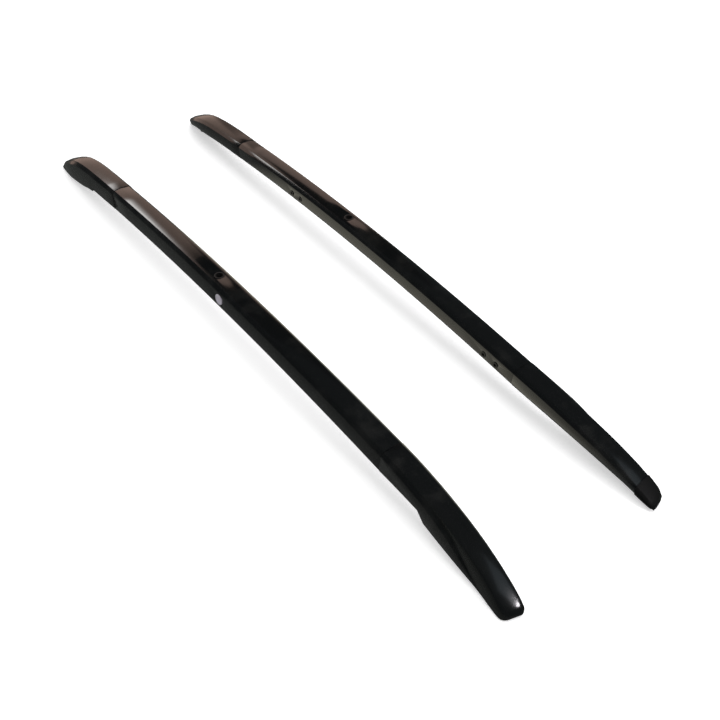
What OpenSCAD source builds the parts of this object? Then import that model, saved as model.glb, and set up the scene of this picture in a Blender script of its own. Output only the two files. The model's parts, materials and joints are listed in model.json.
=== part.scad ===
// Pair of roof rails for an estate or off-road car, standing beside each other on their end covers.
// Every piece is drawn in its own rail's frame and then placed: x runs from the rear tip to the front tip,
// y from outboard to inboard, z up from the floor. The left rail is the right rail mirrored.

/* [Overall] */
// Length of one rail from rear tip to front tip
rail_length = 1762; // [1700:1:1850]
// Distance between the two beams' centre lines at the rear tips
rail_spacing = 379; // [250:1:1200]
// Angle by which each beam runs inboard towards the front
toe_angle = 0.7; // [0:0.1:2]
// Distance by which the left rail stands further back than the right one
stagger = 11; // [0:1:60]

/* [Beam] */
// Radius of the beam's arch, at its top edges
arch_radius = 7500; // [6500:100:9000]
// Height of the top edges at the highest place of the arch
apex_height = 119.5; // [112:0.5:130]
// Distance from the rear tip to the highest place of the arch
apex_place = 830; // [780:5:880]
// Width of the flat top between its two edges
top_width = 38; // [34:0.5:44]
// Rise of the crowned top over its edges
crown_rise = 2; // [0.5:0.1:3]
// Width and fall of the sloped shoulder beside each top edge
shoulder = 7.5; // [5:0.5:9]
// Depth of the outboard side, top edge to lower lip
outboard_depth = 48; // [44:0.5:52]
// Depth of the inboard side, top edge to lower lip
inboard_depth = 44; // [42:0.5:48]
// Outward slope of the outboard side, shoulder to lip
outboard_flare = 2; // [0:0.5:4]
// Height of the inward slope along the foot of the inboard side
undercut_height = 10; // [6:0.5:12]
// Inward reach of that slope
undercut_reach = 6; // [3:0.5:7]
// Wall thickness of the extrusion
beam_wall = 2.5; // [2:0.1:3]
// Depth of the recess under the beam, between its two lower lips
under_recess = 6; // [4:0.5:8]
// Depth of the groove under the outboard shoulder
groove_depth = 0.8; // [0.4:0.1:1.2]

/* [End covers] */
// Length of the rear cover
rear_cover_length = 350; // [320:1:380]
// Length of the front cover
front_cover_length = 357; // [330:1:390]
// Wall thickness of the covers
cover_wall = 2.5; // [2:0.1:3]
// Amount by which the covers stand proud of the beam
cover_proud = 0.5; // [0.2:0.1:1]
// Gap in the joint between beam and cover
joint_gap = 0.6; // [0.3:0.1:1.5]
// Outboard reach of the front tip
front_bend = 21; // [10:1:30]
// Swell of the outboard skirt over the panel beside it
skirt_swell = 1.6; // [0.8:0.1:2.5]
// Distance from the front joint to the step in the skirt
front_step_place = 111; // [90:1:118]
// Slope length of that step
front_step = 20; // [10:1:28]
// Distance from the rear joint to the notch in the skirt
rear_notch_place = 128; // [110:1:138]
// Slope length of that notch
rear_notch = 5; // [3:0.5:10]

/* [Feet] */
// Length of the tongue that plugs into the beam
tongue_length = 42; // [36:1:43]
// Width of the tongue
tongue_width = 40; // [30:0.5:42]
// Height of the tongue
tongue_height = 22; // [16:0.5:24]
// Thickness of the foot's plate and of the walls of its tongue
foot_wall = 5; // [4:0.5:7]
// Length of the front foot's plate
front_plate_length = 124; // [100:1:130]
// Length of the rear foot's plate
rear_plate_length = 104; // [90:1:110]
// Width of the plates
plate_width = 32; // [26:0.5:32.5]
// Radius of the tapped bores for the roof bolts
bolt_bore_r = 3.4; // [2.5:0.1:4.3]
// Depth of the tapped bores
bolt_bore_depth = 14; // [10:0.5:18]
// Thickness of the rubber gaskets
gasket_thickness = 3; // [2:0.1:4]
// Amount by which the gaskets reach below the covers' edges
gasket_proud = 0.8; // [0.3:0.1:1.5]
// Radius of the gaskets' holes round the roof bolts
gasket_hole_r = 9; // [6:0.5:10]

/* [Holes and fittings] */
// Distance from the rear tip to the hole in the top
top_hole_place = 812; // [700:1:900]
// Radius of the hole in the top
top_hole_r = 10; // [8:0.5:12]
// Radius of the bolt bore in the floor of the sleeve
centre_bore_r = 4.5; // [3.5:0.1:5.5]
// Wall thickness of the sleeve in the top hole
sleeve_wall = 1.6; // [1.2:0.1:2.2]
// Distance from the rear tip to the plug in the outboard side
plug_place = 850; // [760:1:950]
// Radius of the plug's disc
plug_r = 12.5; // [9:0.5:13]
// Distance from the rear joint to the middle of the rear pair of inserts
rear_inserts = 274.5; // [220:0.5:330]
// Distance from the front joint to the middle of the front pair of inserts
front_inserts = 67.5; // [66:0.5:120]
// Distance between the two inserts of a pair
insert_spacing = 36; // [26:0.5:60]
// Radius of the inserts' flanges
insert_flange_r = 6.5; // [5.5:0.1:8]
// Radius of the inserts' tapped bores
insert_bore_r = 3.4; // [2.5:0.1:4]
// Depth of the inserts behind the beam's side
insert_depth = 14; // [10:0.5:16]
// Radius of the screws that hold the feet in the beam
screw_r = 3; // [2:0.1:4]
// Distance between the two screws of a foot
screw_spacing = 20; // [14:1:22]

/* [Tip boot] */
// Length of the boot on the left rail's front tip
boot_length = 44; // [38:1:56]
// Wall thickness of the boot
boot_wall = 1.4; // [1:0.1:2]

/* [Hidden] */

// Finishes
gloss_black = "#17181a";
matte_black = "#0c0c0d";
rubber_black = "#1c1c1c";
cast_grey = "#3a3b3d";
steel_dark = "#2b2c2e";
nylon = "#bdb8c4";

// Clearances between pieces that fit each other
tongue_clearance = 0.3;
fit_clearance = 0.15;
boot_clearance = 0.2;
boot_reach = boot_clearance + boot_wall;
// Overlap that keeps cuts from ending on a face
over = 1;

// Smoothness of round shapes and of the arch
$fn = 40;
arch_fn = 720;
crown_facets = 7;

// The arch: height and slope of the top edges at a distance from the rear tip
function arch_tilt(x) = asin((x - apex_place) / arch_radius);
function arch_height(x) = apex_height - arch_radius * (1 - cos(arch_tilt(x)));

rear_seam = rear_cover_length;
front_seam = rail_length - front_cover_length;
insert_places = [rear_seam + rear_inserts, front_seam - front_inserts];
half_top = top_width / 2;
side_out = half_top + shoulder;
side_in = half_top + shoulder;
lip_width = 3;
lip_height = 5;
// Levels, below the top edges, between which the outboard side slopes evenly
side_start = shoulder + 2 * groove_depth;
side_end = outboard_depth - lip_height;

// Points of a crown from inboard to outboard over a chord
function crown(y_in, y_out, z, rise, n) =
    [for (i = [0 : n]) let (u = i / n) [y_in + (y_out - y_in) * u, z + rise * 4 * u * (1 - u)]];

// Outer outline of the beam as [y, z], with z down from the top edges
beam_outline = concat(
    crown(half_top, -half_top, 0, crown_rise, crown_facets),
    [
        [-side_out, -shoulder],
        [-side_out + groove_depth, -shoulder - groove_depth],
        [-side_out, -side_start],
        [-side_out - outboard_flare, -side_end],
        [-side_out - outboard_flare + 1, -outboard_depth],
        [-side_out - outboard_flare + 1 + lip_width, -outboard_depth],
        [-side_out - outboard_flare + 2 + lip_width, -inboard_depth + under_recess],
        [side_in - undercut_reach - lip_width - 1, -inboard_depth + under_recess],
        [side_in - undercut_reach - lip_width, -inboard_depth],
        [side_in - undercut_reach, -inboard_depth],
        [side_in, -inboard_depth + undercut_height],
        [side_in, -shoulder]
    ]
);

// Level of the hollow's floor and the clear half width of the hollow there, below the top edges
floor_level = -inboard_depth + under_recess + beam_wall;
hollow_top = -beam_wall;
hollow_half = half_top - 1;
hollow_outline = [
    [hollow_half, hollow_top],
    [-hollow_half, hollow_top],
    [-side_out + beam_wall, -shoulder - 1],
    [-side_out - outboard_flare / 2 + beam_wall, floor_level],
    [side_in - undercut_reach / 2 - beam_wall, floor_level],
    [side_in - beam_wall, -inboard_depth + undercut_height + 1],
    [side_in - beam_wall, -shoulder - 1]
];

// Bends a flat profile, drawn as y and z, along the arch between two distances from the rear tip
module along_arch(x_from, x_to) {
    translate([apex_place, 0, apex_height - arch_radius])
        rotate([-90, 0, 0])
            rotate([0, 0, -90 + arch_tilt(x_from)])
                rotate_extrude(angle = arch_tilt(x_to) - arch_tilt(x_from), $fn = arch_fn)
                    translate([arch_radius, 0])
                        mirror([1, -1, 0])
                            children();
}

// Places children on the arch: origin on the top edges' line, z square to the arch
module on_arch(x, level = 0) {
    translate([x, 0, arch_height(x)])
        rotate([0, arch_tilt(x), 0])
            translate([0, 0, level])
                children();
}

// Smooth curve through [place, value] pairs, with slopes taken from the neighbours
function slope_at(p, i) =
    let (a = max(i - 1, 0), b = min(i + 1, len(p) - 1)) (p[b][1] - p[a][1]) / (p[b][0] - p[a][0]);
function span_of(p, s, i = 0) = i >= len(p) - 2 || s < p[i + 1][0] ? i : span_of(p, s, i + 1);
function curve(p, s) =
    let (
        i = span_of(p, s),
        w = p[i + 1][0] - p[i][0],
        t = (s - p[i][0]) / w
    )
    p[i][1] * (1 + 2 * t) * (1 - t) * (1 - t) + slope_at(p, i) * w * t * (1 - t) * (1 - t)
    + p[i + 1][1] * t * t * (3 - 2 * t) + slope_at(p, i + 1) * w * t * t * (t - 1);
function ramp(t) = min(max(t, 0), 1);
function blend(a, b, t) = a + (b - a) * ramp(t);

// Sections of a cover run by share of its length, 0 at the joint with the beam and 1 at its tip.
// Heights and half widths are shares of what the same line has at the joint.
front_top_line = [[0, 1], [0.06, 0.983], [0.14, 0.955], [0.28, 0.892], [0.42, 0.81], [0.56, 0.715], [0.7, 0.59],
    [0.84, 0.42], [0.93, 0.28], [0.98, 0.18], [1, 0.12]];
front_skirt_line = [[0, 1], [0.34, 0.62], [0.44, 0.48], [0.64, 0.26], [0.82, 0.11], [0.93, 0.04], [1, 0]];
front_inner_line = [[0, 1], [0.17, 0.93], [0.4, 0.79], [0.61, 0.6], [0.81, 0.35], [0.91, 0.19], [1, 0.1]];
front_edge_fall = [[0, 0], [0.3, 0], [0.42, 0.06], [0.55, 0.25], [0.66, 0.55], [0.76, 0.9], [0.82, 1], [1, 1]];
front_width = [[0, 1], [0.5, 1.02], [0.8, 1], [0.93, 0.97], [0.98, 0.9], [1, 0.8]];
rear_top_line = [[0, 1], [0.07, 0.985], [0.3, 0.931], [0.49, 0.862], [0.63, 0.765], [0.745, 0.62], [0.86, 0.43],
    [0.94, 0.25], [1, 0.07]];
rear_skirt_line = [[0, 1], [0.38, 0.7], [0.43, 0.65], [0.56, 0.42], [0.74, 0.22], [0.86, 0.1], [0.95, 0], [1, 0]];
rear_inner_line = [[0, 1], [0.33, 0.87], [0.58, 0.72], [0.68, 0.65], [0.79, 0.52], [0.9, 0.25], [0.96, 0.08],
    [1, 0.02]];
rear_inboard_edge = [[0, 1], [0.5, 1], [0.65, 0.95], [0.8, 0.62], [0.9, 0.2], [0.96, -0.25], [1, -0.6]];
rear_outboard_edge = [[0, 1], [0.6, 1], [0.8, 0.95], [0.93, 0.82], [1, 0.75]];

step_start = front_step_place / front_cover_length;
step_end = (front_step_place + front_step) / front_cover_length;
notch_start = rear_notch_place / rear_cover_length;
notch_end = (rear_notch_place + rear_notch) / rear_cover_length;

// Lines of the front cover at share s
front_seam_top = arch_height(front_seam) + cover_proud;
front_seam_out = arch_height(front_seam) - outboard_depth;
front_seam_in = arch_height(front_seam) - inboard_depth;
function front_x(s) = front_seam + joint_gap + (front_cover_length - joint_gap) * s;
function front_middle(s) = -front_bend * s * s;
function front_top(s) = front_seam_top * curve(front_top_line, s);
function front_in(s) = front_seam_in * curve(front_inner_line, s);
function front_out(s) = max(boot_reach, blend(front_seam_out * (1 - 0.1 * s),
    front_seam_out * curve(front_skirt_line, s), (s - step_start) / (step_end - step_start)));

// Lines of the rear cover at share s
rear_seam_top = arch_height(rear_seam) + cover_proud;
rear_seam_out = arch_height(rear_seam) - outboard_depth;
rear_seam_in = arch_height(rear_seam) - inboard_depth;
function rear_x(s) = rear_seam - joint_gap - (rear_cover_length - joint_gap) * s;
function rear_top(s) = rear_seam_top * curve(rear_top_line, s);
function rear_in(s) = rear_seam_in * curve(rear_inner_line, s);
function rear_out(s) = max(0, blend(rear_seam_out * (1 - 0.5 * s), rear_seam_out * curve(rear_skirt_line, s),
    (s - notch_start) / (notch_end - notch_start)));

// What one section of a cover is made from:
// [y of inboard edge, y of outboard edge, top, crown rise, inboard shoulder, outboard shoulder,
//  inboard foot, outboard foot, fall of the outboard edge, place of the crease, swell, height of the undercut,
//  share of the swell that runs on below the crease]
function front_sizes(s) =
    let (
        half = half_top * curve(front_width, s) + cover_proud,
        fall = ramp(curve(front_edge_fall, s)),
        m = front_middle(s)
    )
    [m + half, m - half - 2 * fall, front_top(s), crown_rise, shoulder * (1 - 0.55 * s), shoulder,
        front_in(s), front_out(s), fall, ramp(s / step_start),
        blend(skirt_swell * ramp(s * 4), 0.4 * tip_roll, fall),
        blend(undercut_height, front_top(s) - front_in(s) - shoulder, s), ramp((s - 0.76) / 0.06)];
function rear_sizes(s) =
    let (end = 1 - ramp((s - 0.8) / 0.2))
    [half_top * curve(rear_inboard_edge, s) + cover_proud, -half_top * curve(rear_outboard_edge, s) - cover_proud,
        rear_top(s), crown_rise * end, shoulder * blend(0.25, 1, end), shoulder * blend(0.3, 1, end),
        rear_in(s), rear_out(s), 0, ramp(s / notch_start), skirt_swell * ramp(s * 4) * end,
        blend(undercut_height, 1.5 * undercut_height, s), 0];

// Levels that follow from those sizes
edge_roll = 0.6;
tip_roll = 5;
function roll_of(v) = blend(edge_roll, tip_roll, v[8]);
function edge_level(v) = blend(v[2] - edge_roll, v[7] + 1.5, v[8]);
function out_shoulder(v) = v[5] * (1 - v[8]);
function out_level(v) = max(edge_level(v) - 0.95 * out_shoulder(v) - 0.3 * v[8], v[7] + 1.2);
function in_level(v) = max(v[2] - v[4], v[6] + 1.6);
function under_level(v) = max(v[6] + 1, min(v[6] + v[11], in_level(v) - 0.5));
function under_in(v) = undercut_reach * ramp((in_level(v) - v[6]) / 20);

// One section as [y, z] points: inboard foot and side, crowned top, rolled outboard edge, outboard side
// with its crease, outboard foot
function section(v) =
    let (
        side_i = v[0] + v[4],
        side_o = v[1] - out_shoulder(v),
        flare = outboard_flare * (1 - v[8]),
        roll = roll_of(v),
        lip = min(v[7] + lip_height * (1 - v[8]), out_level(v) - 0.9),
        crease = blend(out_level(v) - 0.3, lip + 0.6, v[9]),
        side_low = side_o - v[10] * v[12],
        n = 4
    )
    concat(
        [[side_i - under_in(v), v[6]], [side_i, under_level(v)], [side_i, in_level(v)]],
        crown(v[0], v[1] + 0.6 * roll, v[2], v[3], crown_facets),
        [for (i = [1 : n]) let (a = 90 * i / n)
            [v[1] + 0.6 * roll - roll * sin(a), edge_level(v) + (v[2] - edge_level(v)) * cos(a)]],
        [
            [side_o - v[10], out_level(v)],
            [side_o - flare * v[9] - v[10], crease],
            [side_low - flare * v[9], crease - 0.3],
            [side_low - flare, lip],
            [side_low - flare + 1, v[7]]
        ]
    );

// Inner line of a cover's wall, from its outboard foot over the top to its inboard foot
function inner_line(v, out_foot, in_foot) =
    let (
        side_i = v[0] + v[4] - cover_wall,
        side_o = v[1] - out_shoulder(v) + cover_wall,
        foot_slope = (in_foot[1] - out_foot[1]) / (in_foot[0] - out_foot[0]),
        foot_o = out_foot[1] + (side_o - out_foot[0]) * foot_slope
    )
    [
        [side_o, foot_o],
        [side_o, max(out_level(v) - 1, foot_o + 0.6)],
        [v[1] - 0.4 * roll_of(v) + cover_wall, max(edge_level(v) - cover_wall, foot_o + 1)],
        [v[1] + 0.6 * roll_of(v) + cover_wall, v[2] - cover_wall],
        [v[0] - 1, v[2] - cover_wall],
        [side_i, in_level(v) - 1],
        [side_i, min(under_level(v) + 1, in_level(v) - 2)],
        [in_foot[0] - cover_wall, in_foot[1] - cover_wall * foot_slope]
    ];

// A cover's section as a wall that is open below, or as a solid one with a faintly hollow foot where open is 0
foot_rise = 0.15;
function wall_section(v, open) =
    let (
        outer = section(v),
        out_foot = outer[len(outer) - 1],
        inner = inner_line(v, out_foot, outer[0]),
        n = len(inner)
    )
    concat(
        outer,
        [for (i = [0 : n - 1])
            let (
                t = (i + 1) / (n + 1),
                flat = out_foot + (outer[0] - out_foot) * t + [0, foot_rise * sin(180 * t)]
            )
                flat + (inner[i] - flat) * open]
    );

// A section grown by an even amount all round, for what is slipped over the cover, and flat on the floor
function grown(points, by) =
    let (n = len(points))
    [for (i = [0 : n - 1])
        let (
            before = points[i] - points[(i + n - 1) % n],
            after = points[(i + 1) % n] - points[i],
            p = before / norm(before),
            q = after / norm(after),
            moved = points[i] + by * [p[1] + q[1], -p[0] - q[0]] / max(1 + p * q, 0.5)
        )
        [moved[0], max(moved[1], 0)]];

// Stands a [y, z] section up at x, leaning with the beam's end and slanted in plan about y_ahead
function stand(points, x, level, lean, slant, y_ahead) =
    [for (p = points) [x + (p[1] - level) * tan(lean) + (p[0] - y_ahead) * slant, p[0], p[1]]];
front_lean = arch_tilt(front_seam);
rear_lean = arch_tilt(rear_seam);
tip_slant = 0.33;
function front_stand(points, s, ahead = 0) =
    stand(points, front_x(s) + ahead, front_top(s), front_lean * ramp(1 - s), tip_slant * ramp((s - 0.8) / 0.2),
        front_sizes(s)[0] + front_sizes(s)[4]);
function rear_stand(points, s) = stand(points, rear_x(s), rear_top(s), rear_lean * ramp(1 - s), 0, 0);

// Faces across the end of a wall section. Each outer point is joined to an inner one, which
// stays the same over a stretch of the outline: the crown's two halves, the rolled edge, the outboard side
crown_first = 3;
crown_last = crown_first + crown_facets;
roll_last = crown_last + 4;
outer_count = roll_last + 6;
function partner(i) = outer_count
    + (i < crown_first ? 7 - i : i <= crown_first + crown_facets / 2 ? 4 : i < roll_last ? 3
    : i == roll_last ? 2 : i < outer_count - 2 ? 1 : 0);
end_faces = [
    for (i = [0 : outer_count - 2])
        let (a = partner(i), b = partner(i + 1))
            each concat([[i, i + 1, a]], a == b ? [] : [[i + 1, b, a]])
];

// Solid through a row of wall sections, each with as many points as the next
module loft(rings) {
    n = len(rings[0]);
    last = len(rings) - 1;
    points = [for (ring = rings) each ring];
    sides = [
        for (r = [0 : last - 1]) for (i = [0 : n - 1])
            let (j = (i + 1) % n, a = r * n + i, b = r * n + j, c = (r + 1) * n + j, d = (r + 1) * n + i)
                each [[a, c, b], [a, d, c]]
    ];
    far_end = [for (f = end_faces) [last * n + f[2], last * n + f[1], last * n + f[0]]];
    polyhedron(points = points, faces = concat(end_faces, sides, far_end), convexity = 6);
}
function reversed(rings) = [for (i = [len(rings) - 1 : -1 : 0]) rings[i]];

boot_from = 1 - boot_length / front_cover_length;
front_shares = [0, 0.1, 0.2, step_start, step_end, 0.45, 0.53, 0.6, 0.67, 0.74, 0.8, boot_from, 0.91, 0.95, 0.98,
    1];
rear_shares = [0, 0.12, 0.24, notch_start, notch_end, 0.46, 0.54, 0.62, 0.7, 0.78, 0.85, 0.91, 0.95, 0.98, 1];
// Shares at which each cover's wall has closed to a solid tip
front_solid = 0.95;
rear_solid = 0.91;
closing = 0.04;
function opening(s, solid) = ramp((solid - s) / closing);

module front_cover() {
    color(gloss_black)
        loft([for (s = front_shares) front_stand(wall_section(front_sizes(s), opening(s, front_solid)), s)]);
}

module rear_cover() {
    color(gloss_black)
        loft(reversed([for (s = rear_shares) rear_stand(wall_section(rear_sizes(s), opening(s, rear_solid)), s)]));
}

// The rubber boot over the front tip: the cover's own sections, grown
boot_shares = [boot_from, 0.91, 0.95, 0.98, 1];
function boot_ring(s, by, ahead = 0) = front_stand(grown(wall_section(front_sizes(s), 0), by), s, ahead);
function boot_rings(by, ahead, before) = concat(
    [boot_ring(boot_from, by, -before)],
    [for (s = boot_shares) boot_ring(s, by)],
    [boot_ring(1, by, ahead)]
);
module tip_boot() {
    color(matte_black)
        difference() {
            loft(boot_rings(boot_reach, boot_reach, 0.1));
            loft(boot_rings(boot_clearance, boot_clearance, over));
        }
}

// The plane on which a foot stands, through the cover's lower edges: [middle, lean across, lean along, turn]
pad_half_span = 0.12;
pad_inboard = 1.8;
skirt_out = side_out + outboard_flare;
skirt_in = side_in - undercut_reach;
function pad(x, x_low, x_high, out, out_low, out_high, in, y_mid, turn) =
    [
        [x, y_mid + (skirt_in - skirt_out) / 2 + pad_inboard,
            (out + in) / 2 + pad_inboard * (in - out) / (skirt_in + skirt_out)],
        atan((in - out) / (skirt_in + skirt_out)),
        -atan((out_high - out_low) / (x_high - x_low)),
        turn
    ];
front_pad_share = 0.585;
front_pad = let (s = front_pad_share, a = s - pad_half_span, b = s + pad_half_span)
    pad(front_x(s), front_x(a), front_x(b), front_out(s), front_out(a), front_out(b), front_in(s),
        front_middle(s), -atan(2 * front_bend * s / front_cover_length));
rear_pad_share = 0.571;
rear_pad = let (s = rear_pad_share, a = s + pad_half_span, b = s - pad_half_span)
    pad(rear_x(s), rear_x(a), rear_x(b), rear_out(s), rear_out(a), rear_out(b), rear_in(s), 0, 0);
module on_pad(p) {
    translate(p[0])
        rotate([p[1], p[2], p[3]])
            children();
}

// A plate with round ends, standing on z = 0 of its pad
module slab(length, width, height) {
    linear_extrude(height)
        union() {
            square([length - width, width], center = true);
            for (end = [-1, 1])
                translate([end * (length - width) / 2, 0])
                    circle(d = width, $fn = 48);
        }
}
plate_level = gasket_thickness - gasket_proud;
gasket_margin = 2;
boss_r = bolt_bore_r + 4.6;
function bolt_reach(plate_length) = (plate_length - plate_width) / 2;

module gasket(p, plate_length) {
    color(rubber_black)
        on_pad(p)
            translate([0, 0, -gasket_proud])
                difference() {
                    slab(plate_length + 2 * gasket_margin, plate_width + 2 * gasket_margin, gasket_thickness);
                    for (end = [-1, 1])
                        translate([end * bolt_reach(plate_length), 0, -over])
                            cylinder(r = gasket_hole_r, h = gasket_thickness + 2 * over);
                }
}

// Levels of the tongue in the beam's hollow
tongue_low = floor_level + tongue_clearance;
tongue_high = tongue_low + tongue_height;
tongue_outline = [
    [-tongue_width / 2, tongue_low],
    [tongue_width / 2, tongue_low],
    [tongue_width / 2, tongue_high],
    [-tongue_width / 2, tongue_high]
];
tongue_pocket = [
    [-tongue_width / 2 + foot_wall, tongue_low + foot_wall],
    [tongue_width / 2 - foot_wall, tongue_low + foot_wall],
    [tongue_width / 2 - foot_wall, tongue_high - foot_wall],
    [-tongue_width / 2 + foot_wall, tongue_high - foot_wall]
];
// Reach of the tongue outside the beam, and distance of its first screw inside
tongue_outside = 26;
first_screw = 11;
web_thickness = 16;
function screw_x(seam, way, i) = seam - way * (first_screw + i * screw_spacing);

// A bracket: tongue in the beam, web down to the plate, plate with two bosses tapped from below.
// way is 1 for the front foot and -1 for the rear foot
module foot(seam, way, p, plate_length, web_outline, web_y) {
    inner = seam - way * tongue_length;
    outer = seam + way * tongue_outside;
    color(cast_grey)
        difference() {
            union() {
                along_arch(min(inner, outer), max(inner, outer))
                    polygon(tongue_outline);
                translate([0, web_y + web_thickness / 2, 0])
                    rotate([90, 0, 0])
                        linear_extrude(web_thickness)
                            polygon(web_outline);
                on_pad(p)
                    translate([0, 0, plate_level]) {
                        slab(plate_length, plate_width, foot_wall);
                        for (end = [-1, 1])
                            translate([end * bolt_reach(plate_length), 0, 0])
                                cylinder(r = boss_r, h = bolt_bore_depth + 3);
                    }
            }
            along_arch(min(inner - way * over, seam), max(inner - way * over, seam))
                polygon(tongue_pocket);
            on_pad(p) {
                translate([-plate_length, -plate_width, plate_level - outboard_depth])
                    cube([2 * plate_length, 2 * plate_width, outboard_depth]);
                for (end = [-1, 1])
                    translate([end * bolt_reach(plate_length), 0, plate_level - over])
                        cylinder(r = bolt_bore_r, h = bolt_bore_depth + over);
            }
            for (i = [0, 1])
                on_arch(screw_x(seam, way, i), tongue_low - over)
                    cylinder(r = screw_r + fit_clearance, h = foot_wall + 2 * over);
        }
}

// Room between the web and the cover's top, save for the rib that the cover rests on with a small gap,
// and reach of the web below the plate's level, where the plate's cut trims it
web_clear = 16;
rest_gap = 0.3;
web_sink = 20;
front_web = [
    [front_x(0.02), arch_height(front_seam) + tongue_low + 1],
    [front_x(0.02), arch_height(front_seam) + tongue_high - 3],
    [front_x(0.3), front_top(0.3) - web_clear],
    [front_x(0.43), front_top(0.43) - web_clear],
    [front_x(0.44), front_top(0.44) - cover_wall - rest_gap],
    [front_x(0.46), front_top(0.46) - cover_wall - rest_gap],
    [front_x(0.47), front_top(0.47) - web_clear],
    [front_x(0.66), front_top(0.66) - web_clear - 4],
    [front_x(0.72), front_top(0.72) - web_clear - 14],
    [front_x(0.72), front_pad[0][2] - web_sink],
    [front_x(0.44), front_pad[0][2] - web_sink],
    [front_x(0.44), front_pad[0][2] + web_clear],
    [front_x(0.3), front_top(0.3) - 2 * web_clear]
];
rear_web = [
    [rear_x(0.02), arch_height(rear_seam) + tongue_low + 1],
    [rear_x(0.02), arch_height(rear_seam) + tongue_high - 3],
    [rear_x(0.3), rear_top(0.3) - web_clear],
    [rear_x(0.43), rear_top(0.43) - web_clear],
    [rear_x(0.44), rear_top(0.44) - cover_wall - rest_gap],
    [rear_x(0.46), rear_top(0.46) - cover_wall - rest_gap],
    [rear_x(0.47), rear_top(0.47) - web_clear],
    [rear_x(0.64), rear_top(0.64) - web_clear - 4],
    [rear_x(0.69), rear_top(0.69) - web_clear - 14],
    [rear_x(0.69), rear_pad[0][2] - web_sink],
    [rear_x(0.44), rear_pad[0][2] - web_sink],
    [rear_x(0.44), rear_pad[0][2] + web_clear],
    [rear_x(0.28), rear_top(0.28) - 2 * web_clear]
];

// Levels of the fittings, below the top edges
insert_level = -(shoulder + inboard_depth - undercut_height) / 2 - 5;
plug_level = -(shoulder + outboard_depth - lip_height) / 2 - 2;
side_slope = outboard_flare / (side_end - side_start);
plug_y = -side_out - side_slope * (-plug_level - side_start);
plug_body_r = plug_r - 5;
sleeve_r = top_hole_r - fit_clearance;
rim_r = top_hole_r + 1.4;
rim_level = crown_rise - 1;
insert_r = insert_flange_r - 1.2;
seat_gap = 0.05;

module on_insert(x, i) {
    on_arch(x, insert_level)
        translate([i * insert_spacing / 2, side_in, 0])
            rotate([-90, 0, 0])
                children();
}
module on_plug() {
    on_arch(plug_place, plug_level)
        translate([0, plug_y, 0])
            rotate([90 - atan(side_slope), 0, 0])
                children();
}

module rail_beam() {
    color(gloss_black)
        difference() {
            along_arch(rear_seam, front_seam)
                difference() {
                    polygon(beam_outline);
                    polygon(hollow_outline);
                }
            on_arch(top_hole_place, hollow_top - over)
                cylinder(r = top_hole_r, h = 2 * beam_wall + crown_rise + over);
            on_arch(top_hole_place, rim_level - seat_gap)
                cylinder(r = rim_r + fit_clearance, h = crown_rise + over);
            on_arch(top_hole_place, floor_level - beam_wall - over)
                cylinder(r = centre_bore_r + 1, h = beam_wall + 2 * over);
            for (x = insert_places, i = [-1, 1])
                on_insert(x, i)
                    translate([0, 0, -beam_wall - over])
                        cylinder(r = insert_r + fit_clearance, h = beam_wall + 2 * over);
            on_plug()
                translate([0, 0, -beam_wall - 2 * over])
                    cylinder(r = plug_body_r + fit_clearance, h = beam_wall + 4 * over);
            for (i = [0, 1]) {
                on_arch(screw_x(rear_seam, -1, i), floor_level - beam_wall - over)
                    cylinder(r = screw_r + 2 * fit_clearance, h = beam_wall + 2 * over);
                on_arch(screw_x(front_seam, 1, i), floor_level - beam_wall - over)
                    cylinder(r = screw_r + 2 * fit_clearance, h = beam_wall + 2 * over);
            }
        }
}

// Well under the top hole: a thin rim on the crown, a tube, and a floor with the bolt's bore
sleeve_floor = 3;
module centre_sleeve() {
    low = floor_level + seat_gap;
    color(rubber_black)
        on_arch(top_hole_place)
            difference() {
                union() {
                    translate([0, 0, low])
                        cylinder(r = sleeve_r, h = rim_level + 0.5 - low);
                    translate([0, 0, rim_level])
                        cylinder(r = rim_r, h = crown_rise - rim_level + 0.4);
                }
                translate([0, 0, low + sleeve_floor])
                    cylinder(r = sleeve_r - sleeve_wall, h = outboard_depth);
                translate([0, 0, low - over])
                    cylinder(r = centre_bore_r, h = sleeve_floor + 2 * over);
            }
}

// Threaded inserts for the crossbars: a flange on the beam's side and a body behind it
insert_flange = 0.9;
module crossbar_inserts() {
    color(steel_dark)
        for (x = insert_places, i = [-1, 1])
            on_insert(x, i)
                difference() {
                    union() {
                        translate([0, 0, seat_gap])
                            cylinder(r = insert_flange_r, h = insert_flange);
                        translate([0, 0, -insert_depth])
                            cylinder(r = insert_r, h = insert_depth + seat_gap + insert_flange / 2);
                    }
                    translate([0, 0, -insert_depth - over])
                        cylinder(r = insert_bore_r, h = insert_depth + insert_flange + 2 * over);
                }
}

// Plug: a low domed disc on the side and a cup that grips the hole
plug_disc = 1.6;
module side_plug() {
    color(nylon)
        on_plug()
            difference() {
                rotate_extrude($fn = 64)
                    polygon([
                        [0, -7], [plug_body_r - 0.6, -7], [plug_body_r, -6], [plug_body_r, seat_gap],
                        [plug_r, seat_gap], [plug_r, 0.8], [plug_r - 1, plug_disc], [0, plug_disc + 0.4]
                    ]);
                translate([0, 0, -7 - over])
                    cylinder(r = plug_body_r - 1.6, h = 6);
            }
}

// Screws that hold the feet in the beam, heads below its floor
screw_head_r = 5.2;
screw_head = 2.6;
screw_reach = 8;
module foot_screws() {
    color(steel_dark)
        for (way = [-1, 1], i = [0, 1])
            on_arch(screw_x(way > 0 ? front_seam : rear_seam, way, i), floor_level - beam_wall - seat_gap)
                difference() {
                    union() {
                        translate([0, 0, -screw_head])
                            cylinder(r = screw_head_r, h = screw_head);
                        translate([0, 0, -screw_head / 2])
                            cylinder(r = screw_r, h = screw_head / 2 + screw_reach);
                    }
                    translate([0, 0, -screw_head - over])
                        cylinder(r = screw_r * 0.9, h = 1.6 + over, $fn = 6);
                }
}

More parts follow.
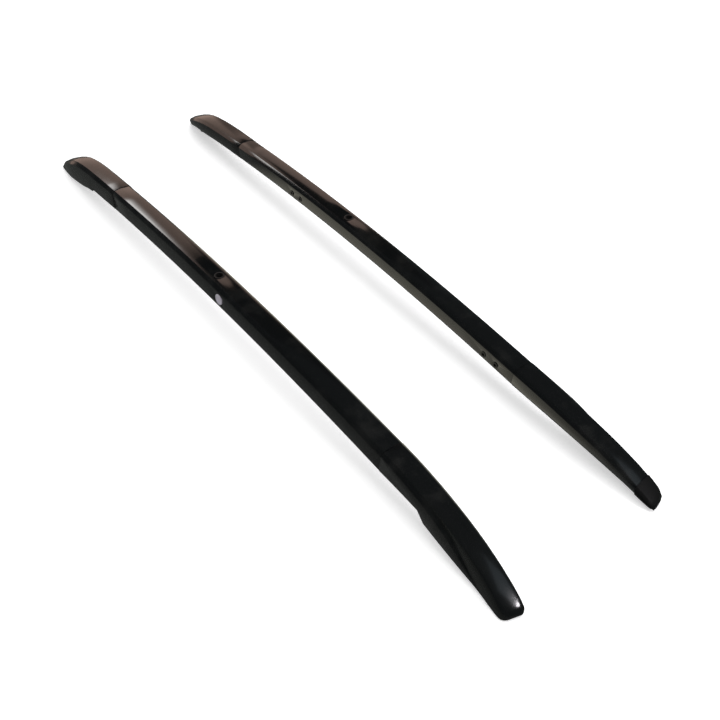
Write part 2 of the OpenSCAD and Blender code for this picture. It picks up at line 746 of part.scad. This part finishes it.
// The pair's ends are at equal distances from the origin
pair_front = rail_length + max(boot_reach - stagger, 0);
module place_right() {
    translate([(stagger - pair_front) / 2, -rail_spacing / 2, 0])
        rotate([0, 0, toe_angle])
            children();
}
module place_left() {
    translate([-stagger, 0, 0])
        mirror([0, 1, 0])
            place_right()
                children();
}
front_foot_y = front_middle(0.4);

place_right() rail_beam();  // right_rail_beam
place_right() front_cover();  // right_front_cover
place_right() rear_cover();  // right_rear_cover
place_right() foot(front_seam, 1, front_pad, front_plate_length, front_web, front_foot_y);  // right_front_foot
place_right() foot(rear_seam, -1, rear_pad, rear_plate_length, rear_web, 0);  // right_rear_foot
place_right() gasket(front_pad, front_plate_length);  // right_front_gasket
place_right() gasket(rear_pad, rear_plate_length);  // right_rear_gasket
place_right() centre_sleeve();  // right_centre_sleeve
place_right() crossbar_inserts();  // right_crossbar_inserts
place_right() side_plug();  // right_side_plug
place_right() foot_screws();  // right_foot_screws
place_left() rail_beam();  // left_rail_beam
place_left() front_cover();  // left_front_cover
place_left() rear_cover();  // left_rear_cover
place_left() foot(front_seam, 1, front_pad, front_plate_length, front_web, front_foot_y);  // left_front_foot
place_left() foot(rear_seam, -1, rear_pad, rear_plate_length, rear_web, 0);  // left_rear_foot
place_left() gasket(front_pad, front_plate_length);  // left_front_gasket
place_left() gasket(rear_pad, rear_plate_length);  // left_rear_gasket
place_left() centre_sleeve();  // left_centre_sleeve
place_left() crossbar_inserts();  // left_crossbar_inserts
place_left() side_plug();  // left_side_plug
place_left() foot_screws();  // left_foot_screws
place_left() tip_boot();  // left_tip_boot
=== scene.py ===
"""Looks of a pair of roof rails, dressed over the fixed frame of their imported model."""

import json
import math

import bpy
from mathutils import Matrix, Vector

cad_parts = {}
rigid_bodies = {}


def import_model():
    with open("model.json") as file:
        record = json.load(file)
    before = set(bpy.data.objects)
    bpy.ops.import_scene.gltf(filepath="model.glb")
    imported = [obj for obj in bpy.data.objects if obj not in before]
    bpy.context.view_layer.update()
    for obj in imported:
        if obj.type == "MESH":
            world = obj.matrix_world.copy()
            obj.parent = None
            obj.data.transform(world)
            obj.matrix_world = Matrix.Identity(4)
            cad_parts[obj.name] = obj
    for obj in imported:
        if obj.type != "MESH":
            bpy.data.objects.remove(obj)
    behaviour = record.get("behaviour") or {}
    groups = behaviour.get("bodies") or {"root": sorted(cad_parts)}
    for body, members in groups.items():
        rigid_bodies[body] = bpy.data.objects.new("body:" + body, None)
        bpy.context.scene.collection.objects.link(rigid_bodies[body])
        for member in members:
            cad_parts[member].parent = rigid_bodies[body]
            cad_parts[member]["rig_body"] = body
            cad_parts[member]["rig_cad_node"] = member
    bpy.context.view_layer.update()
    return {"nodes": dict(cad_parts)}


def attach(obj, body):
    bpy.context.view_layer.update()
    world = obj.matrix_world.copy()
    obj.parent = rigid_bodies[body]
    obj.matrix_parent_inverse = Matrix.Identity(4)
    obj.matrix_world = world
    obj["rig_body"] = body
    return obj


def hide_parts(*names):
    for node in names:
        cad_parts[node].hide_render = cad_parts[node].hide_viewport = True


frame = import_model()

bl_info = {
    "name": "Roof rails",
    "version": (1, 0, 0),
    "blender": (4, 5, 0),
    "location": "3D View > Sidebar > Roof rails",
    "description": "Paints and finishes a pair of roof rails and sets them on a white floor",
    "category": "Object",
}

SIDES = ("right", "left")
BLACK, WHITE = (0, 0, 0), (1, 1, 1)

# Most of a noise pattern lies between these values
NOISE_RUN = (0.3, 0.7)

# Points this close become one, and quads may have corners this far from square
MERGE_DISTANCE = 2e-5
QUAD_SHAPE = math.radians(100)
# How far two triangles may bend to each other and still become a quad
BEAM_BEND = math.radians(4)
COVER_BEND = math.radians(40)
BOOT_BEND = math.radians(20)

# How far the faces at an edge have to turn for it to be rounded, and for it to stay crisp
BEAM_SHARP = math.radians(28)
MOULDED_SHARP = math.radians(32)
CRISP = math.radians(38)
ROUND_SEGMENTS = 2

# Slope of the front ends across the rails, and how far their faces stray from it
TIP_SLANT = 0.33
END_FLATNESS = 0.001
TIP_RINGS = 6

# Floor, and its painted reflection: a strip between the rails that glows pale to glossy rays only,
# as lit floor, and dim elsewhere, which under the rails is painted shade; each of its edges fades
# from dim to pale between two places, across the rails or along them
FLOOR_SIZE = 14
FLOOR_GAP = 0.0005
PAINTED_GLOW_ACROSS = ((-0.21, -0.15), (0.165, 0.145))
PAINTED_GLOW_ALONG = ((-0.6, -0.4), (0.8, 0.5))
PAINTED_REFLECTION_COLOURS = ((0.1, 0.105, 0.1), (0.6, 0.58, 0.48))

# Wall card behind the rails. Edges of its lit fields fade between two values, dark first
CARD_SIZE = 2
CARD_CENTRE = (-1.2, 0.7, 1.0)
CARD_STRENGTH = 5.5
CARD_WARM_SHARE = 0.13
CARD_PALE_COLOUR = (1, 0.97, 0.95)
# Edges along slanted lines: the slope, then the values of z + slope * y
NEAR_TOP = (0.55, 1.12, 0.96)
FAR_SIDE = (-0.71, 0.31, 0.24)
FAR_TOP = (0.63, 1.74, 1.6)
FAR_FOOT = (0.85, 0.76, 0.84)
FAR_FOOT_LIGHT = 0.35
# Upright edges, in y, and level ones, in z
NEAR_SIDE = (0.52, 0.42)
PALE_SIDE = (0.12, -0.1)
PALE_TOP = (0.98, 0.75)
PALE_FOOT = (0.44, 0.54)

# Strength and tint of the surroundings on rough surfaces, in the gloss and to the camera
ROOM = ((0.42, WHITE), (0.045, (0.85, 0.95, 1.0)), (1.0, WHITE))

# The near rail's front tip, which two lamps aim at
NEAR_TIP = Vector((0.86, -0.19, 0.02))

CAMERA_PLACE = (1.342, -0.886, 1.334)
CAMERA_AHEAD = (-0.788, 0.616, 0)
CAMERA_PITCH = math.radians(43.37)
CAMERA_ROLL = math.radians(1.13)
CAMERA_LENS = 45
CAMERA_SENSOR = 36
CAMERA_REACH = 60


class Sock:
    """Wraps a socket so that sums and products of values read as plain Python."""

    def __init__(self, paint, socket):
        self.paint = paint
        self.socket = socket

    def _math(self, operation, other, swap=False):
        a, b = (other, self) if swap else (self, other)
        return self.paint.node("ShaderNodeMath", {"operation": operation}, {0: a, 1: b})

    def __add__(self, other):
        return self._math("ADD", other)

    __radd__ = __add__

    def __sub__(self, other):
        return self._math("SUBTRACT", other)

    def __rsub__(self, other):
        return self._math("SUBTRACT", other, swap=True)

    def __mul__(self, other):
        return self._math("MULTIPLY", other)

    __rmul__ = __mul__

    def __pow__(self, other):
        return self._math("POWER", other)

    def larger(self, other):
        """The larger of two values."""
        return self._math("MAXIMUM", other)


class Paint:
    """Builds one material, with a principled surface and patterns in object space."""

    def __init__(self, name):
        self.material = bpy.data.materials.new(name)
        self.material.use_nodes = True
        self.tree = self.material.node_tree
        self.tree.nodes.clear()
        self.surface = self.tree.nodes.new("ShaderNodeBsdfPrincipled")
        self.output = self.tree.nodes.new("ShaderNodeOutputMaterial")
        self.tree.links.new(self.surface.outputs[0], self.output.inputs["Surface"])
        self.place = self.node("ShaderNodeTexCoord", {}, {}, "Object")

    def node(self, kind, settings, values, out=0):
        """Adds a node: settings first, then values or links of its sockets."""
        node = self.tree.nodes.new(kind)
        for key, value in settings.items():
            setattr(node, key, value)
        for key, value in values.items():
            self.set(node.inputs[key], value)
        return Sock(self, node.outputs[out])

    def set(self, socket, value):
        """Links a Sock to the socket, or sets a plain value on it."""
        if isinstance(value, Sock):
            self.tree.links.new(value.socket, socket)
        elif hasattr(value, "__len__") and len(value) == 3 and len(socket.default_value) == 4:
            socket.default_value = (*value, 1)
        else:
            socket.default_value = value

    def give(self, **values):
        """Sets sockets of the surface; names are written with _ for a space."""
        for key, value in values.items():
            self.set(self.surface.inputs[key.replace("_", " ")], value)

    def axis(self, name):
        """One coordinate of the place in object space."""
        return self.node("ShaderNodeSeparateXYZ", {}, {0: self.place}, name)

    def ray(self, kind):
        """1 for rays of one kind, else 0."""
        return self.node("ShaderNodeLightPath", {}, {}, f"Is {kind} Ray")

    def noise(self, scale, detail=2, rough=0.5, stretch=(1, 1, 1)):
        """Soft noise from 0 to 1, with scale in cycles per metre."""
        place = self.node("ShaderNodeMapping", {}, {"Vector": self.place, "Scale": stretch})
        values = {"Vector": place, "Scale": scale, "Detail": detail, "Roughness": rough}
        return self.node("ShaderNodeTexNoise", {}, values, "Fac")

    def range(self, value, low, high, to_low=0.0, to_high=1.0):
        """Maps a value from one range to another, clamped."""
        values = {"Value": value, "From Min": low, "From Max": high}
        values.update({"To Min": to_low, "To Max": to_high})
        return self.node("ShaderNodeMapRange", {}, values)

    def spread(self, noise, low, high):
        """Maps the usual run of a noise to two values."""
        return self.range(noise, *NOISE_RUN, low, high)

    def mix(self, share, a, b):
        """Mixes two colours."""
        return self.node("ShaderNodeMix", {"data_type": "RGBA"}, {0: share, 6: a, 7: b}, 2)

    def bump(self, height, strength, distance):
        """Normal from a height."""
        values = {"Height": height, "Strength": strength, "Distance": distance}
        return self.node("ShaderNodeBump", {}, values)


def linear(colour):
    """Three numbers of a colour property."""
    return tuple(colour)[:3]


def times(factor, colour):
    """A colour made brighter or darker."""
    return tuple(factor * value for value in colour)


def dust_on(paint, base, colour, amount):
    """Faint dust in soft patches and specks over a base colour."""
    patches = paint.range(paint.noise(14, detail=4, rough=0.6), 0.5, 0.75, to_high=amount)
    specks = paint.range(paint.noise(900, detail=1), 0.68, 0.76, to_high=0.5 * amount)
    return paint.mix(patches + specks, base, colour)


def gloss_paint(colours):
    """Gloss black paint of the beams: deep colour, clear coat, faint orange peel."""
    paint = Paint("gloss_black_paint")
    peel = paint.noise(420)
    wave = paint.noise(26, stretch=(0.25, 1, 1))
    paint.give(
        Base_Color=dust_on(paint, linear(colours.paint), linear(colours.dust), amount=0.03),
        Roughness=paint.spread(paint.noise(30, detail=3, rough=0.6), 0.13, 0.2),
        Coat_Weight=0.35,
        Coat_Roughness=0.06,
        IOR=1.5,
        Normal=paint.bump(peel * 0.25 + wave, strength=0.06, distance=0.001),
    )
    return paint.material


def cover_plastic(colours):
    """Painted moulded covers: as the paint, a little softer, with faint flow marks."""
    paint = Paint("cover_black_paint")
    peel = paint.noise(380)
    flow = paint.noise(18, detail=3, stretch=(0.4, 1, 1))
    paint.give(
        Base_Color=dust_on(paint, linear(colours.paint), linear(colours.dust), amount=0.04),
        Roughness=paint.spread(paint.noise(24, detail=3, rough=0.6), 0.17, 0.25),
        Coat_Weight=0.3,
        Coat_Roughness=0.09,
        IOR=1.5,
        Normal=paint.bump(peel * 0.25 + flow, strength=0.08, distance=0.001),
    )
    return paint.material


def boot_rubber(colours):
    """Matte black boot with a fine grain."""
    paint = Paint("boot_rubber")
    grain = paint.noise(1500, detail=3, rough=0.6)
    paint.give(
        Base_Color=dust_on(paint, linear(colours.boot), linear(colours.dust), amount=0.05),
        Roughness=paint.spread(grain, 0.5, 0.68),
        IOR=1.45,
        Specular_IOR_Level=0.25,
        Normal=paint.bump(grain, strength=0.25, distance=0.0004),
    )
    return paint.material


def gasket_rubber():
    """Foam-like rubber of the gaskets."""
    paint = Paint("gasket_rubber")
    cells = paint.noise(1100, detail=3, rough=0.7)
    shade = paint.range(cells, 0.35, 0.7)
    paint.give(
        Base_Color=paint.mix(shade, (0.008, 0.008, 0.008), (0.02, 0.02, 0.019)),
        Roughness=paint.spread(cells, 0.7, 0.9),
        Normal=paint.bump(cells, strength=0.5, distance=0.0005),
    )
    return paint.material


def cast_metal():
    """Shot-blasted aluminium casting of the feet, stained grey."""
    paint = Paint("cast_metal")
    grain = paint.noise(900, detail=4, rough=0.7)
    stain = paint.spread(paint.noise(40, detail=3, rough=0.6), 0.0, 1.0)
    paint.give(
        Base_Color=paint.mix(stain, (0.09, 0.09, 0.092), (0.16, 0.16, 0.158)),
        Metallic=0.85,
        Roughness=paint.spread(grain, 0.42, 0.6),
        Normal=paint.bump(grain, strength=0.35, distance=0.0004),
    )
    return paint.material


def dark_steel(name, tint, rough):
    """Blackened steel of inserts and screws, with turned and worn places."""
    paint = Paint(name)
    wear = paint.range(paint.noise(260, detail=3, rough=0.6), 0.55, 0.75)
    turned = paint.noise(700)
    paint.give(
        Base_Color=paint.mix(wear, tint, times(3, tint)),
        Metallic=0.9,
        Roughness=paint.spread(turned, rough - 0.06, rough + 0.08),
        Normal=paint.bump(turned, strength=0.15, distance=0.0003),
    )
    return paint.material


def sleeve_plastic(colours):
    """Black nylon of the well under the top hole."""
    paint = Paint("sleeve_plastic")
    grain = paint.noise(800)
    paint.give(
        Base_Color=dust_on(paint, (0.012, 0.012, 0.012), linear(colours.dust), amount=0.12),
        Roughness=paint.spread(grain, 0.3, 0.42),
        Normal=paint.bump(grain, strength=0.15, distance=0.0003),
    )
    return paint.material


def pale_nylon(colours):
    """Pale grey-lavender nylon of the side plugs, a little soiled."""
    paint = Paint("pale_nylon")
    clean = linear(colours.nylon)
    soil = paint.range(paint.noise(130, detail=4, rough=0.65), 0.45, 0.8, to_high=0.4)
    fine = paint.noise(900)
    paint.give(
        Base_Color=paint.mix(soil, clean, times(0.55, clean)),
        Roughness=paint.spread(fine, 0.38, 0.52),
        Normal=paint.bump(fine, strength=0.1, distance=0.0003),
    )
    return paint.material


def only(piece):
    """Deselects everything but the piece and makes it active."""
    bpy.ops.object.select_all(action="DESELECT")
    piece.select_set(True)
    bpy.context.view_layer.objects.active = piece


def skin_of(node, material, bend):
    """A merged copy of a CAD node, with quads where they fit, that stands for the node."""
    piece = frame["nodes"][node].copy()
    piece.data = piece.data.copy()
    piece.name = piece.data.name = node + "_skin"
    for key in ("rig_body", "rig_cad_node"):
        if key in piece:
            del piece[key]
    piece.parent = None
    piece.matrix_world = Matrix.Identity(4)
    bpy.context.scene.collection.objects.link(piece)
    only(piece)
    bpy.ops.object.mode_set(mode="EDIT")
    bpy.ops.mesh.select_all(action="SELECT")
    bpy.ops.mesh.customdata_custom_splitnormals_clear()
    bpy.ops.mesh.remove_doubles(threshold=MERGE_DISTANCE)
    bpy.ops.mesh.tris_convert_to_quads(face_threshold=bend, shape_threshold=QUAD_SHAPE)
    bpy.ops.object.mode_set(mode="OBJECT")
    piece.data.materials.clear()
    piece.data.materials.append(material)
    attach(piece, "root")
    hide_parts(node)
    return piece


def tip_reach(piece):
    """Slope of the slanted front end across the piece, and the end's reach in X at Y = 0."""
    places = [v.co for v in piece.data.vertices]
    slope = math.copysign(TIP_SLANT, places[0].y)
    return slope, max(co.x + slope * co.y for co in places)


def soften_edges(piece, width, sharp, end_kept=False):
    """Small rounds along sharp edges, but for a slanted end that is kept, and smooth shading."""
    only(piece)
    mesh = piece.data
    slope, end = tip_reach(piece)
    bpy.ops.object.mode_set(mode="EDIT")
    bpy.ops.mesh.select_mode(type="EDGE")
    bpy.ops.mesh.select_all(action="DESELECT")
    bpy.ops.mesh.edges_select_sharp(sharpness=sharp)
    bpy.ops.object.mode_set(mode="OBJECT")
    weights = mesh.attributes.new("bevel_weight_edge", "FLOAT", "EDGE").data
    for edge, weight in zip(mesh.edges, weights):
        ends = [mesh.vertices[i].co for i in edge.vertices]
        on_end = end_kept and all(co.x + slope * co.y > end - END_FLATNESS for co in ends)
        weight.value = float(edge.select and not on_end)
    bevel = piece.modifiers.new("Edge rounds", "BEVEL")
    bevel.width = width
    bevel.segments = ROUND_SEGMENTS
    bevel.limit_method = "WEIGHT"
    bevel.use_clamp_overlap = False
    bevel.miter_outer = "MITER_ARC"
    bpy.ops.object.modifier_apply(modifier=bevel.name)
    bpy.ops.object.shade_smooth_by_angle(angle=CRISP)


def round_tip(piece, depth, across, upright):
    """Rounds the slanted end's corners: rings are cut near it and drawn in towards its middle.

    The rounding starts the depth behind the end, where it draws in the sides by across and
    the top and bottom by upright.
    """
    only(piece)
    mesh = piece.data
    slope, end = tip_reach(piece)
    bpy.ops.object.mode_set(mode="EDIT")
    for ring in range(TIP_RINGS):
        bpy.ops.mesh.select_all(action="SELECT")
        back = depth * (1 - math.sin(0.5 * math.pi * ring / TIP_RINGS))
        bpy.ops.mesh.bisect(plane_co=(end - back, 0, 0), plane_no=(1, slope, 0))
    bpy.ops.object.mode_set(mode="OBJECT")
    rim = [v.co for v in mesh.vertices if v.co.x + slope * v.co.y > end - END_FLATNESS]
    low = Vector([min(co[i] for co in rim) for i in range(3)])
    high = Vector([max(co[i] for co in rim) for i in range(3)])
    centre, half = (low + high) / 2, (high - low) / 2
    for vertex in mesh.vertices:
        place = vertex.co
        share = min((place.x + slope * place.y - end) / depth + 1, 1)
        if share > 0:
            drawn = 1 - math.sqrt(1 - share * share)
            move = -across * drawn * (place.y - centre.y) / half.y
            place.z -= upright * drawn * (place.z - centre.z) / half.z
            place.y += move
            place.x -= slope * move
    bpy.ops.object.shade_smooth_by_angle(angle=CRISP)


def lamp(name, place, aim, power, size, colour=WHITE, glossy=True):
    """An oblong lamp at a place, aimed at a point."""
    data = bpy.data.lights.new(name, "AREA")
    data.energy = power
    data.color = colour
    data.shape = "RECTANGLE"
    data.size, data.size_y = size
    piece = bpy.data.objects.new(name, data)
    bpy.context.scene.collection.objects.link(piece)
    turn = (Vector(aim) - Vector(place)).to_track_quat("-Z", "Y").to_matrix().to_4x4()
    piece.matrix_world = Matrix.Translation(place) @ turn
    piece.visible_glossy = glossy


class RailSizes(bpy.types.PropertyGroup):
    """Widths of the small rounds along the edges"""

    beam_round: bpy.props.FloatProperty(
        name="Beam edge round",
        description="Width of the small round along the beams' edges",
        default=0.0007, min=0.0001, max=0.002, subtype="DISTANCE", unit="LENGTH")
    cover_round: bpy.props.FloatProperty(
        name="Cover edge round",
        description="Width of the small round along the covers' edges",
        default=0.0008, min=0.0001, max=0.002, subtype="DISTANCE", unit="LENGTH")
    boot_round: bpy.props.FloatProperty(
        name="Boot edge round",
        description="Width of the round along the boot's edges",
        default=0.0008, min=0.0001, max=0.002, subtype="DISTANCE", unit="LENGTH")


class RailColours(bpy.types.PropertyGroup):
    """Colours of the rails and of the card that they mirror"""

    paint: bpy.props.FloatVectorProperty(
        name="Paint",
        description="Colour under the gloss of beams and covers",
        default=(0.0035, 0.004, 0.0042), min=0, max=1, subtype="COLOR")
    boot: bpy.props.FloatVectorProperty(
        name="Boot",
        description="Colour of the matte boot on the left front tip",
        default=(0.004, 0.004, 0.004), min=0, max=1, subtype="COLOR")
    nylon: bpy.props.FloatVectorProperty(
        name="Side plugs",
        description="Colour of the nylon discs in the outboard sides",
        default=(0.5, 0.47, 0.53), min=0, max=1, subtype="COLOR")
    dust: bpy.props.FloatVectorProperty(
        name="Dust",
        description="Colour of the faint dust on dark surfaces",
        default=(0.25, 0.24, 0.22), min=0, max=1, subtype="COLOR")
    wall: bpy.props.FloatVectorProperty(
        name="Wall card",
        description="Colour of the warm card that the rear tops mirror",
        default=(1.0, 0.72, 0.6), min=0, max=1, subtype="COLOR")


class RAILS_OT_beams(bpy.types.Operator):
    """Paint the two beams and round their edges"""

    bl_idname = "rails.beams"
    bl_label = "Beams"

    def execute(self, context):
        sizes, colours = context.scene.rail_sizes, context.scene.rail_colours
        material = gloss_paint(colours)
        for side in SIDES:
            piece = skin_of(side + "_rail_beam", material, BEAM_BEND)
            soften_edges(piece, sizes.beam_round, BEAM_SHARP)
        return {"FINISHED"}


class RAILS_OT_covers(bpy.types.Operator):
    """Paint the four end covers and round their edges"""

    bl_idname = "rails.covers"
    bl_label = "End covers"

    def execute(self, context):
        sizes, colours = context.scene.rail_sizes, context.scene.rail_colours
        material = cover_plastic(colours)
        for side in SIDES:
            for end in ("front", "rear"):
                piece = skin_of(f"{side}_{end}_cover", material, COVER_BEND)
                open_tip = (side, end) == ("right", "front")
                soften_edges(piece, sizes.cover_round, MOULDED_SHARP, end_kept=open_tip)
                if open_tip:
                    round_tip(piece, depth=0.011, across=0.009, upright=0.0035)
        return {"FINISHED"}


class RAILS_OT_boot(bpy.types.Operator):
    """Finish the matte boot on the left rail's front tip"""

    bl_idname = "rails.boot"
    bl_label = "Tip boot"

    def execute(self, context):
        sizes, colours = context.scene.rail_sizes, context.scene.rail_colours
        piece = skin_of("left_tip_boot", boot_rubber(colours), BOOT_BEND)
        soften_edges(piece, sizes.boot_round, MOULDED_SHARP, end_kept=True)
        round_tip(piece, depth=0.014, across=0.012, upright=0.004)
        return {"FINISHED"}


class RAILS_OT_fittings(bpy.types.Operator):
    """Give feet, gaskets, sleeves, inserts, plugs and screws their finishes"""

    bl_idname = "rails.fittings"
    bl_label = "Feet and fittings"

    def execute(self, context):
        colours = context.scene.rail_colours
        finishes = {
            "front_foot": cast_metal(),
            "front_gasket": gasket_rubber(),
            "centre_sleeve": sleeve_plastic(colours),
            "crossbar_inserts": dark_steel("insert_steel", (0.03, 0.03, 0.032), rough=0.34),
            "side_plug": pale_nylon(colours),
            "foot_screws": dark_steel("screw_steel", (0.05, 0.05, 0.052), rough=0.4),
        }
        finishes["rear_foot"] = finishes["front_foot"]
        finishes["rear_gasket"] = finishes["front_gasket"]
        for side in SIDES:
            for name, material in finishes.items():
                node = frame["nodes"][f"{side}_{name}"]
                for slot in node.material_slots:
                    slot.material = material
        return {"FINISHED"}


class RAILS_OT_stage(bpy.types.Operator):
    """Set the white floor, the lamps, the surroundings and the camera"""

    bl_idname = "rails.stage"
    bl_label = "Stage"

    def execute(self, context):
        self.floor()
        self.wall_card(linear(context.scene.rail_colours.wall))
        self.surroundings(context.scene)
        self.lamps()
        self.camera(context.scene)
        return {"FINISHED"}

    def floor(self):
        """White floor that keeps the shadow; to glossy rays it glows as a painted reflection, pale
        between the rails and dim elsewhere, with painted shade under the rails.
        """
        bpy.ops.object.select_all(action="DESELECT")
        bpy.ops.mesh.primitive_plane_add(size=FLOOR_SIZE, location=(0, 0, -FLOOR_GAP))
        piece = bpy.context.active_object
        piece.name = "Floor"
        paint = Paint("white_floor")
        right, left = [paint.range(paint.axis("Y"), *edge) for edge in PAINTED_GLOW_ACROSS]
        rear, front = [paint.range(paint.axis("X"), *edge) for edge in PAINTED_GLOW_ALONG]
        painted_glow = right * left * rear * front
        paint.give(
            Base_Color=paint.mix(paint.noise(9, detail=3), (0.78, 0.78, 0.78), (0.8, 0.8, 0.8)),
            Roughness=0.9,
            Specular_IOR_Level=0.0,
            Emission_Color=paint.mix(paint.ray("Camera"), BLACK, WHITE),
            Emission_Strength=0.5,
        )
        # Painted reflection: the glow that glossy rays see in place of the floor, pale between the
        # rails and dim elsewhere, which under the rails stands in for their shade
        painted_reflection = paint.node(
            "ShaderNodeEmission", {}, {"Color": paint.mix(painted_glow, *PAINTED_REFLECTION_COLOURS), "Strength": 1.0})
        seen = paint.node("ShaderNodeMixShader", {}, {0: paint.ray("Glossy"), 2: painted_reflection})
        paint.tree.links.new(paint.surface.outputs[0], seen.socket.node.inputs[1])
        paint.tree.links.new(seen.socket, paint.output.inputs["Surface"])
        piece.data.materials.append(paint.material)

    def wall_card(self, colour):
        """Warm wall that the rear half of the tops mirrors, unseen by the camera."""
        upright = (math.radians(90), 0, math.radians(90))
        bpy.ops.object.select_all(action="DESELECT")
        bpy.ops.mesh.primitive_plane_add(size=CARD_SIZE, rotation=upright)
        piece = bpy.context.active_object
        piece.name = "Wall card"
        bpy.ops.object.transform_apply(location=False, rotation=True, scale=False)
        bpy.ops.transform.translate(value=CARD_CENTRE)
        bpy.ops.object.transform_apply(location=True, rotation=False, scale=False)
        paint = Paint("warm_wall")
        y, z = paint.axis("Y"), paint.axis("Z")

        def side_of(slope, dark, lit, dim=0.0):
            """Light on one side of a slanted line, from dim to full."""
            return paint.range(z + slope * y, dark, lit, to_low=dim)

        near = side_of(*NEAR_TOP) * paint.range(y, *NEAR_SIDE)
        far = side_of(*FAR_SIDE) * side_of(*FAR_TOP) * side_of(*FAR_FOOT, FAR_FOOT_LIGHT)
        pale = paint.range(y, *PALE_SIDE) ** 2
        pale = pale * paint.range(z, *PALE_TOP) * paint.range(z, *PALE_FOOT)
        warm = paint.mix(near.larger(far), BLACK, times(CARD_WARM_SHARE, colour))
        paint.give(
            Base_Color=BLACK,
            Roughness=1.0,
            Emission_Color=paint.mix(pale, warm, CARD_PALE_COLOUR),
            Emission_Strength=CARD_STRENGTH,
        )
        piece.data.materials.append(paint.material)
        piece.visible_camera = False
        piece.visible_shadow = False
        piece.visible_diffuse = False

    def surroundings(self, scene):
        """White to the camera, plain light on rough surfaces, a dark room in the gloss."""
        world = bpy.data.worlds.new("Surroundings")
        scene.world = world
        world.use_nodes = True
        tree = world.node_tree
        tree.nodes.clear()
        rays = tree.nodes.new("ShaderNodeLightPath")
        output = tree.nodes.new("ShaderNodeOutputWorld")
        parts = []
        for strength, tint in ROOM:
            part = tree.nodes.new("ShaderNodeBackground")
            part.inputs["Color"].default_value = (*tint, 1)
            part.inputs["Strength"].default_value = strength
            parts.append(part.outputs[0])
        light = parts[0]
        for ray, part in zip(("Is Glossy Ray", "Is Camera Ray"), parts[1:]):
            mix = tree.nodes.new("ShaderNodeMixShader")
            tree.links.new(rays.outputs[ray], mix.inputs[0])
            tree.links.new(light, mix.inputs[1])
            tree.links.new(part, mix.inputs[2])
            light = mix.outputs[0]
        tree.links.new(light, output.inputs["Surface"])

    def lamps(self):
        """A broad lamp overhead for the shadows, and two that light the near tip's gloss."""
        lamp("Overhead soft lamp", place=(0.3, 0.4, 3.4), aim=(0, 0, 0), power=100,
             size=(3.2, 3.2), glossy=False)
        lamp("Tip window", place=NEAR_TIP + 2.4 * Vector((0.626, 0.446, 0.651)), aim=NEAR_TIP,
             power=14, size=(0.5, 0.2), colour=(1, 0.96, 1))
        lamp("Tip sky", place=NEAR_TIP + 2.6 * Vector((0.4, 0.46, 0.8)), aim=NEAR_TIP,
             power=1.6, size=(1.4, 0.9), colour=(0.75, 0.9, 1))

    def camera(self, scene):
        """Camera at the photograph's angle."""
        data = bpy.data.cameras.new("Camera")
        data.sensor_width = CAMERA_SENSOR
        data.lens = CAMERA_LENS
        data.clip_end = CAMERA_REACH
        piece = bpy.data.objects.new("Camera", data)
        scene.collection.objects.link(piece)
        pitch, roll = CAMERA_PITCH, CAMERA_ROLL
        ahead = Vector(CAMERA_AHEAD).normalized()
        right = Vector((ahead.y, -ahead.x, 0))
        forward = ahead * math.cos(pitch) - Vector((0, 0, math.sin(pitch)))
        up = ahead * math.sin(pitch) + Vector((0, 0, math.cos(pitch)))
        right, up = (
            right * math.cos(roll) + up * math.sin(roll),
            up * math.cos(roll) - right * math.sin(roll),
        )
        turn = Matrix((right, up, -forward)).transposed().to_4x4()
        piece.matrix_world = Matrix.Translation(CAMERA_PLACE) @ turn
        scene.camera = piece
        scene.view_settings.view_transform = "Standard"


class RAILS_PT_panel(bpy.types.Panel):
    """Sizes, colours and steps of the roof rails"""

    bl_idname = "RAILS_PT_panel"
    bl_label = "Roof rails"
    bl_space_type = "VIEW_3D"
    bl_region_type = "UI"
    bl_category = "Roof rails"

    def draw(self, context):
        layout = self.layout
        for group in (context.scene.rail_sizes, context.scene.rail_colours):
            box = layout.box()
            for name in type(group).__annotations__:
                box.prop(group, name)
        for step in STEPS:
            layout.operator(step.bl_idname)


STEPS = (RAILS_OT_beams, RAILS_OT_covers, RAILS_OT_boot, RAILS_OT_fittings, RAILS_OT_stage)
CLASSES = (RailSizes, RailColours, *STEPS, RAILS_PT_panel)


def register():
    for item in CLASSES:
        bpy.utils.register_class(item)
    bpy.types.Scene.rail_sizes = bpy.props.PointerProperty(type=RailSizes)
    bpy.types.Scene.rail_colours = bpy.props.PointerProperty(type=RailColours)


def unregister():
    del bpy.types.Scene.rail_colours
    del bpy.types.Scene.rail_sizes
    for item in reversed(CLASSES):
        bpy.utils.unregister_class(item)


def main():
    register()
    bpy.ops.rails.beams()
    bpy.ops.rails.covers()
    bpy.ops.rails.boot()
    bpy.ops.rails.fittings()
    bpy.ops.rails.stage()


if __name__ == "__main__":
    main()
